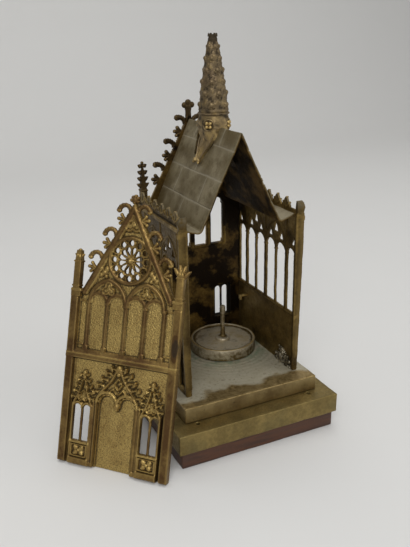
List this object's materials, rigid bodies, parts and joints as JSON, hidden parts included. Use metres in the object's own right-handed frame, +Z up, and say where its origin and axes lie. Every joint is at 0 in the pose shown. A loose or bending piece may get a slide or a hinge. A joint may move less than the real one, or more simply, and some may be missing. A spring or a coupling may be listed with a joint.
{
  "type": "reliquary",
  "caption": "Neo-Gothic chapel reliquary in gilt brass on a stepped plinth, its nave open in front and its pierced west front detached and leaning beside it.",
  "frame": {"origin": "middle of the underside of the base slab", "axes": "+Z up along the spire, -Y out of the nave's open front, +X to the nave's right as seen from the front"},
  "size_m": [0.1726, 0.1291, 0.2416],
  "materials": {
    "base_slab": "dark red-brown stained and waxed, rubbed at the edges",
    "plinth_brass": "dull olive brass with grey film and green verdigris",
    "wall_brass": "brown patinated cast brass, ochre where rubbed",
    "gilt_brass": "worn gilding over a punched ground, brown in the hollows",
    "roof_sheet": "grey-brown oxidised sheet with engraved slates",
    "spire_bronze": "grey and pinkish bronze, bright gold on the high points",
    "disc_brass": "grey-green tarnished top with a rubbed brass rim"
  },
  "bodies": {
    "root": {"base_slab": "base_slab", "plinth": "plinth_brass", "step": "plinth_brass", "left_wall": "wall_brass", "right_wall": "wall_brass", "rear_wall": "wall_brass", "front_panel": "gilt_brass", "roof": "roof_sheet", "spire": "spire_bronze", "stand_disc": "disc_brass", "spindle": "disc_brass"}
  },
  "joints": []
}
